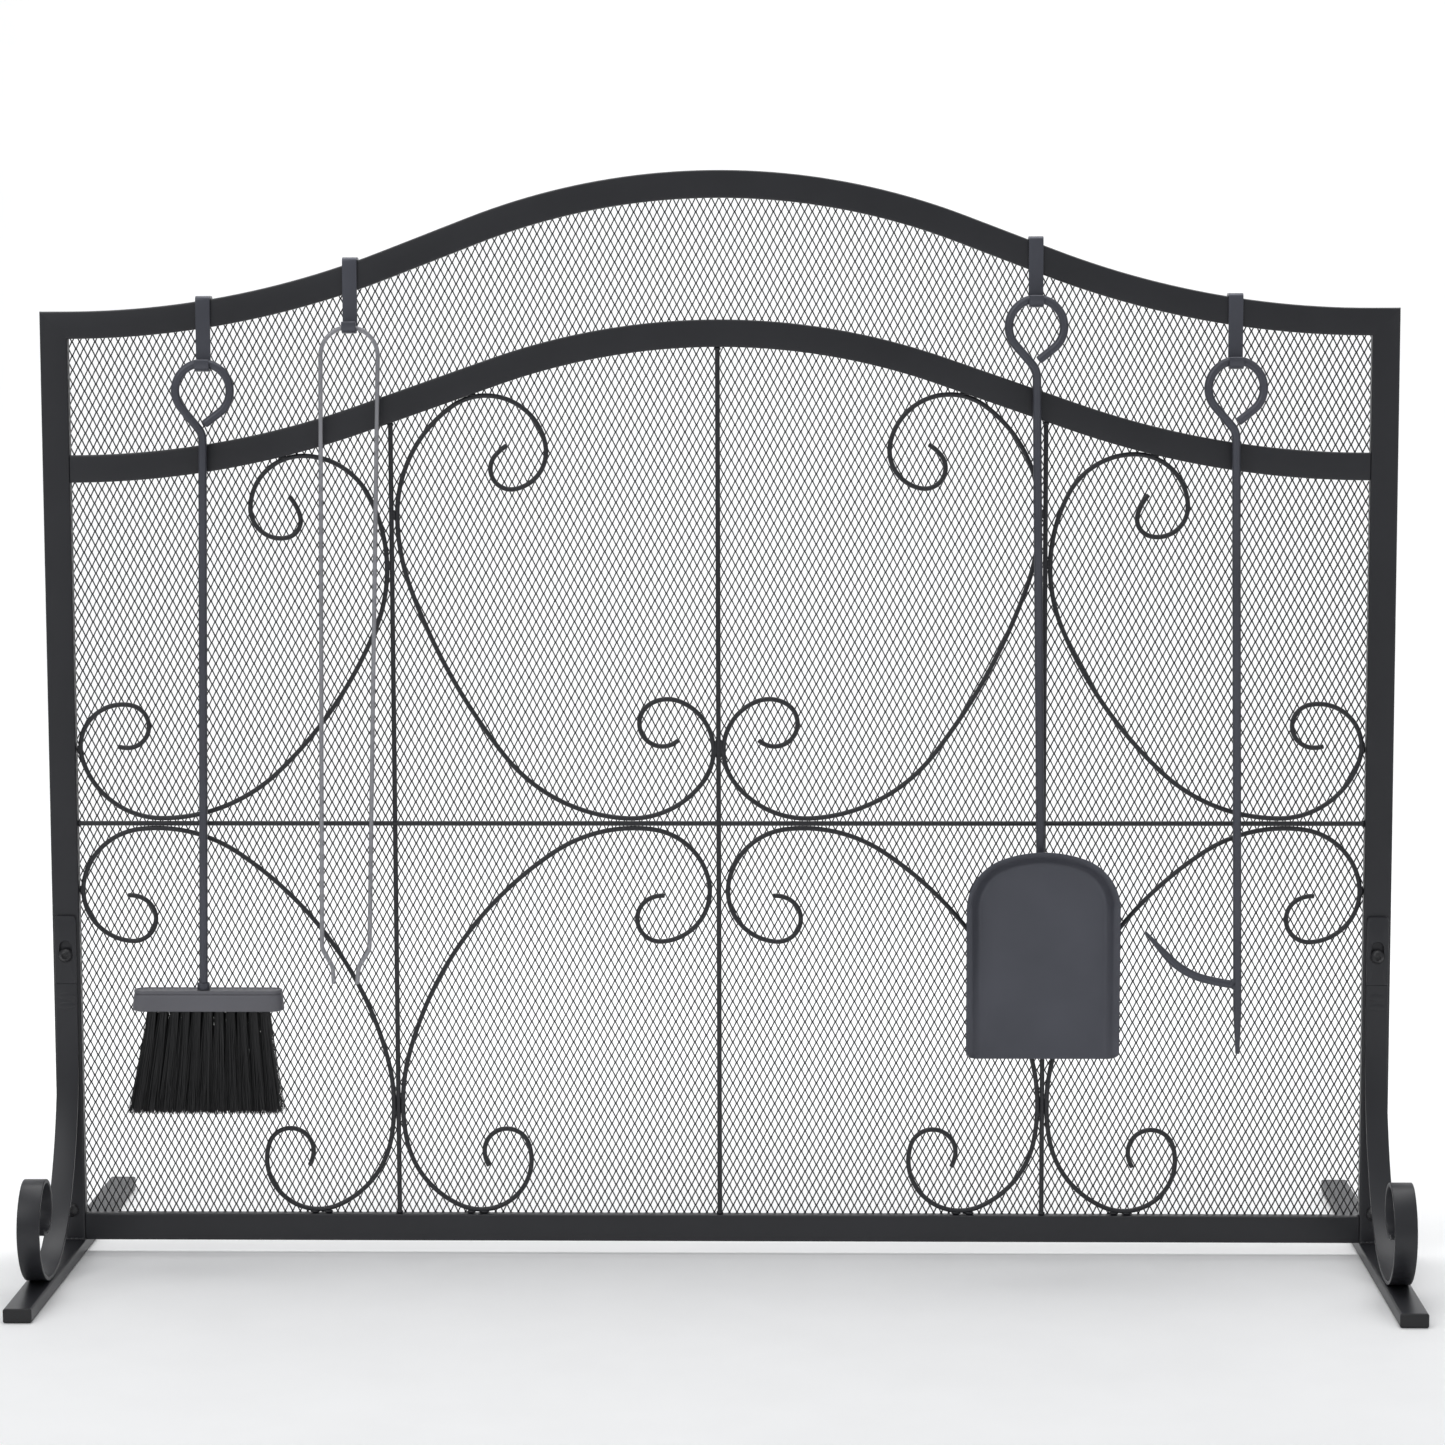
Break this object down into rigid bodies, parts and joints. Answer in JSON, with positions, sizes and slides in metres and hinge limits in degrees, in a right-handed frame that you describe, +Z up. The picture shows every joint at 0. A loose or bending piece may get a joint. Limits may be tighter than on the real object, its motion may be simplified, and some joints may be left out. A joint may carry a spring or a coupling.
{
  "type": "fireplace screen",
  "caption": "Free-standing arched fireplace screen with mesh back, rod scrollwork and two flat-bar curls, with a hung brush, tongs, shovel and poker.",
  "frame": {"origin": "on the floor, midway between the two feet, in the middle of the frame tubes' depth", "axes": "+X along the screen, +Z up; the front with the tools faces -Y"},
  "size_m": [0.99, 0.41, 0.8017],
  "materials": {
    "frame_black": "satin black powder coat",
    "mesh_black": "satin black powder coat",
    "screw_black": "satin black",
    "cap_black": "matte",
    "tool_grey": "satin graphite",
    "tongs_grey": "semi-gloss grey",
    "brush_plastic": "satin",
    "bristle_black": "matte"
  },
  "bodies": {
    "screen": {"left_stile": "frame_black", "right_stile": "frame_black", "top_rail": "frame_black", "mid_rail": "frame_black", "bottom_rail": "frame_black", "left_foot_bar": "frame_black", "right_foot_bar": "frame_black", "foot_end_caps": "cap_black", "left_strap": "frame_black", "right_strap": "frame_black", "socket_screws": "screw_black", "cross_rod": "frame_black", "lower_rod_left": "frame_black", "lower_rod_centre": "frame_black", "lower_rod_right": "frame_black", "upper_rod_left": "frame_black", "upper_rod_centre": "frame_black", "upper_rod_right": "frame_black", "scroll_lower_outer_left": "frame_black", "scroll_lower_inner_left": "frame_black", "scroll_lower_inner_right": "frame_black", "scroll_lower_outer_right": "frame_black", "scroll_upper_outer_left": "frame_black", "scroll_upper_inner_left": "frame_black", "scroll_upper_inner_right": "frame_black", "scroll_upper_outer_right": "frame_black", "mesh_panel": "mesh_black"},
    "brush_hook_body": {"hook_brush": "tool_grey"},
    "tongs_hook_body": {"hook_tongs": "tool_grey"},
    "shovel_hook_body": {"hook_shovel": "tool_grey"},
    "poker_hook_body": {"hook_poker": "tool_grey"},
    "brush": {"brush_handle": "tool_grey", "brush_collar": "tool_grey", "brush_block": "brush_plastic", "brush_bristles": "bristle_black"},
    "tongs": {"tongs_bow": "tongs_grey"},
    "tongs_left": {"tongs_left_arm": "tongs_grey"},
    "tongs_right": {"tongs_right_arm": "tongs_grey"},
    "shovel": {"shovel_handle": "tool_grey", "shovel_pan": "tool_grey"},
    "poker": {"poker_handle": "tool_grey", "poker_side_hook": "tool_grey"}
  },
  "joints": [
    {"name": "brush_hook_lift", "type": "slide", "parent": "screen", "child": "brush_hook_body", "axis": [0, 0, 1], "range_m": [0, 0.03]},
    {"name": "brush_swing", "type": "hinge", "parent": "brush_hook_body", "child": "brush", "pos_m": [-0.3749, -0.0114, 0.66345], "axis": [-1, 0, 0], "range_deg": [0, 25]},
    {"name": "tongs_hook_lift", "type": "slide", "parent": "screen", "child": "tongs_hook_body", "axis": [0, 0, 1], "range_m": [0, 0.03]},
    {"name": "tongs_swing", "type": "hinge", "parent": "tongs_hook_body", "child": "tongs", "pos_m": [-0.2673, -0.0114, 0.68925], "axis": [-1, 0, 0], "range_deg": [0, 25]},
    {"name": "shovel_hook_lift", "type": "slide", "parent": "screen", "child": "shovel_hook_body", "axis": [0, 0, 1], "range_m": [0, 0.03]},
    {"name": "shovel_swing", "type": "hinge", "parent": "shovel_hook_body", "child": "shovel", "pos_m": [0.2312, -0.0114, 0.70821], "axis": [-1, 0, 0], "range_deg": [0, 25]},
    {"name": "poker_hook_lift", "type": "slide", "parent": "screen", "child": "poker_hook_body", "axis": [0, 0, 1], "range_m": [0, 0.03]},
    {"name": "poker_swing", "type": "hinge", "parent": "poker_hook_body", "child": "poker", "pos_m": [0.3758, -0.0114, 0.6634], "axis": [-1, 0, 0], "range_deg": [0, 25]},
    {"name": "tongs_left_squeeze", "type": "hinge", "parent": "tongs", "child": "tongs_left", "pos_m": [-0.28859, -0.0114, 0.66875], "axis": [0, -1, 0], "range_deg": [0, 0.85], "stiffness_Nm_per_rad": 6.7},
    {"name": "tongs_right_squeeze", "type": "hinge", "parent": "tongs", "child": "tongs_right", "pos_m": [-0.2468, -0.0114, 0.66796], "axis": [0, 1, 0], "range_deg": [0, 0.85], "stiffness_Nm_per_rad": 6.7}
  ],
  "couplings": [
    {"joint": "tongs_right_squeeze", "follows": "tongs_left_squeeze", "ratio": 1}
  ]
}
